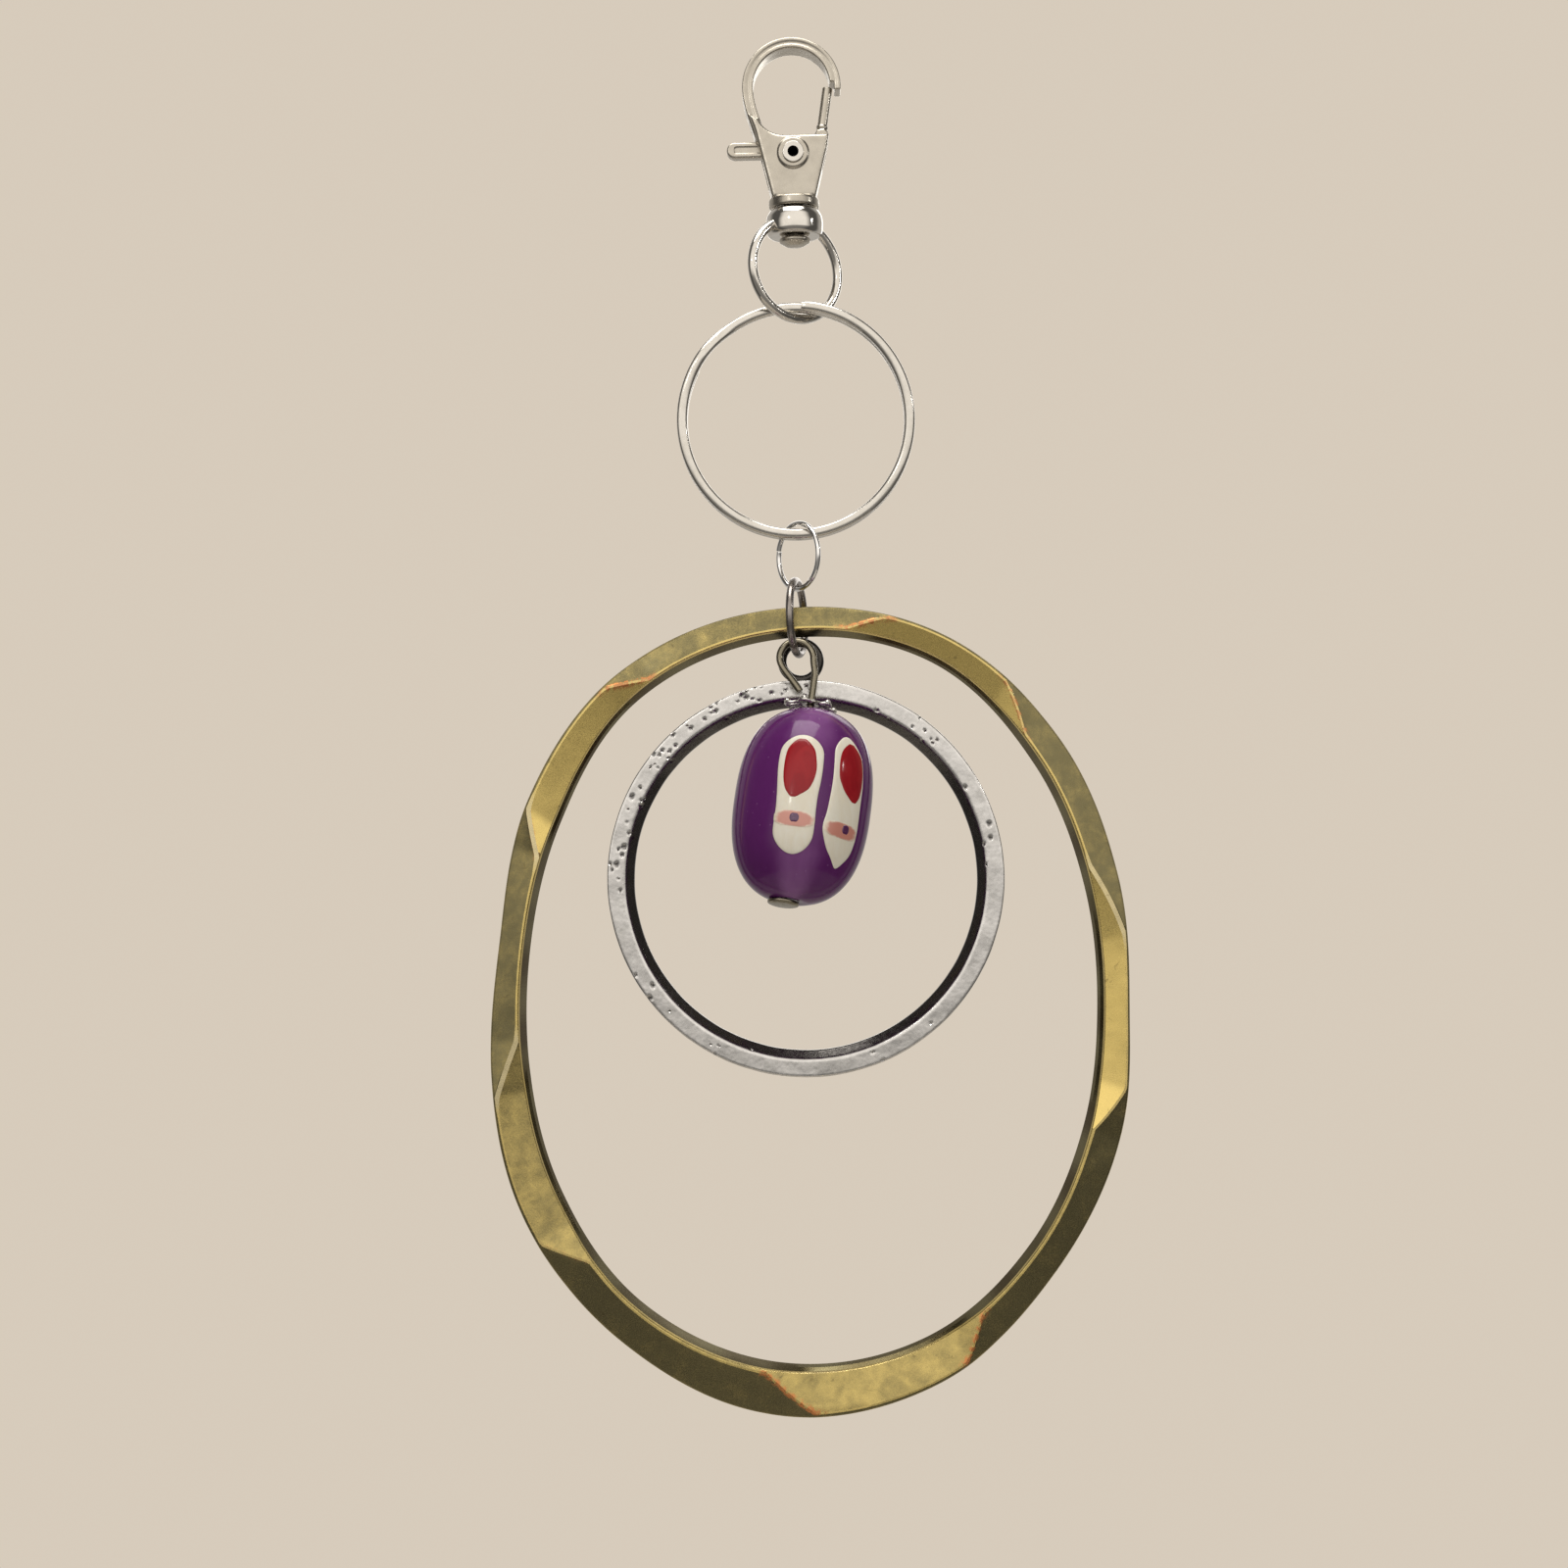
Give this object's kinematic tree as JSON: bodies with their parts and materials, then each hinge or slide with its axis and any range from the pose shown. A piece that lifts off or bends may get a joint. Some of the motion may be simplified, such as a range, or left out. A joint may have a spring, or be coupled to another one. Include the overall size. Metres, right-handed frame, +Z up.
{
  "type": "bag charm keychain",
  "caption": "Bag charm on a swivel trigger clasp: split ring, jump rings, faceted oval hoop, round ring and a patterned glass bead.",
  "frame": {"origin": "top of the inside of the clasp's hook, where the charm hangs on a peg", "axes": "+Z up along the hanging charm, +X to the right seen from the front, +Y to the back, across the flat rings"},
  "size_m": [0.0787, 0.0206, 0.1692],
  "materials": {
    "satin_nickel": "satin nickel plate on die-cast zinc",
    "polished_nickel": "polished nickel plate",
    "spring_steel": "drawn spring wire",
    "ring_steel": "nickel-plated steel wire",
    "bright_silver": "bright silver-plated wire",
    "dark_steel": "darkened steel wire",
    "antique_brass": "antiqued brass, rubbed bright on the edges",
    "cast_silver": "silver-plated casting with pits and dark spots",
    "pin_steel": "plated craft wire",
    "purple_glass": "translucent lampwork glass",
    "white_glass": "opaque cream glass",
    "red_glass": "opaque red glass",
    "pink_glass": "opaque pink glass",
    "violet_glass": "opaque violet glass"
  },
  "bodies": {
    "clasp": {"clasp_body": "satin_nickel", "lever_rivet": "polished_nickel", "lever_spring": "spring_steel"},
    "lever": {"clasp_lever": "satin_nickel"},
    "swivel": {"swivel_loop": "polished_nickel"},
    "key_ring": {"split_ring": "ring_steel"},
    "small_link": {"small_jump_ring": "bright_silver"},
    "large_link": {"large_jump_ring": "dark_steel"},
    "hoop": {"brass_hoop": "antique_brass"},
    "round_ring": {"silver_ring": "cast_silver"},
    "pin": {"head_pin": "pin_steel"},
    "cap": {"bead_cap": "cast_silver"},
    "bead": {"glass_bead": "purple_glass", "slipper_left": "white_glass", "insole_left": "red_glass", "strap_left": "pink_glass", "dot_left": "violet_glass", "slipper_right": "white_glass", "insole_right": "red_glass", "strap_right": "pink_glass", "dot_right": "violet_glass"}
  },
  "joints": [
    {"name": "lever_pivot", "type": "hinge", "parent": "clasp", "child": "lever", "pos_m": [0, 0, -0.013], "axis": [0, -1, 0], "range_deg": [0, 26], "stiffness_Nm_per_rad": 0.03, "springref_deg": -14.32, "deforming": ["lever_spring"]},
    {"name": "swivel_spin", "type": "hinge", "parent": "clasp", "child": "swivel", "pos_m": [0, 0, -0.0196], "axis": [0, 0, 1], "continuous": true},
    {"name": "key_ring_swing", "type": "hinge", "parent": "swivel", "child": "key_ring", "pos_m": [-0.0003, 0, -0.03225], "axis": [0.9537, 0.3007, 0], "range_deg": [-20, 20]},
    {"name": "small_link_swing", "type": "hinge", "parent": "key_ring", "child": "small_link", "pos_m": [-0.0005, 0, -0.05873], "axis": [0.6018, -0.7986, 0], "range_deg": [-30, 30]},
    {"name": "large_link_swing", "type": "hinge", "parent": "small_link", "child": "large_link", "pos_m": [-0.0008, 0, -0.06551], "axis": [0, 1, 0], "range_deg": [-25, 25]},
    {"name": "hoop_sway", "type": "hinge", "parent": "large_link", "child": "hoop", "pos_m": [-0.0008, 0.0001, -0.07191], "axis": [0, 1, 0], "range_deg": [-12, 12]},
    {"name": "round_ring_sway", "type": "hinge", "parent": "large_link", "child": "round_ring", "pos_m": [-0.00047, 0.00155, -0.07252], "axis": [0, 1, 0], "range_deg": [-10, 10]},
    {"name": "pin_sway", "type": "hinge", "parent": "large_link", "child": "pin", "pos_m": [-0.00113, -0.00155, -0.07266], "axis": [0, 1, 0], "range_deg": [-8, 8]},
    {"name": "cap_spin", "type": "hinge", "parent": "pin", "child": "cap", "pos_m": [0.00041, -0.00376, -0.08151], "axis": [0.1564, 0.2389, 0.9583], "continuous": true},
    {"name": "bead_spin", "type": "hinge", "parent": "pin", "child": "bead", "pos_m": [-0.00144, -0.00659, -0.09287], "axis": [0.1564, 0.2389, 0.9583], "continuous": true}
  ]
}
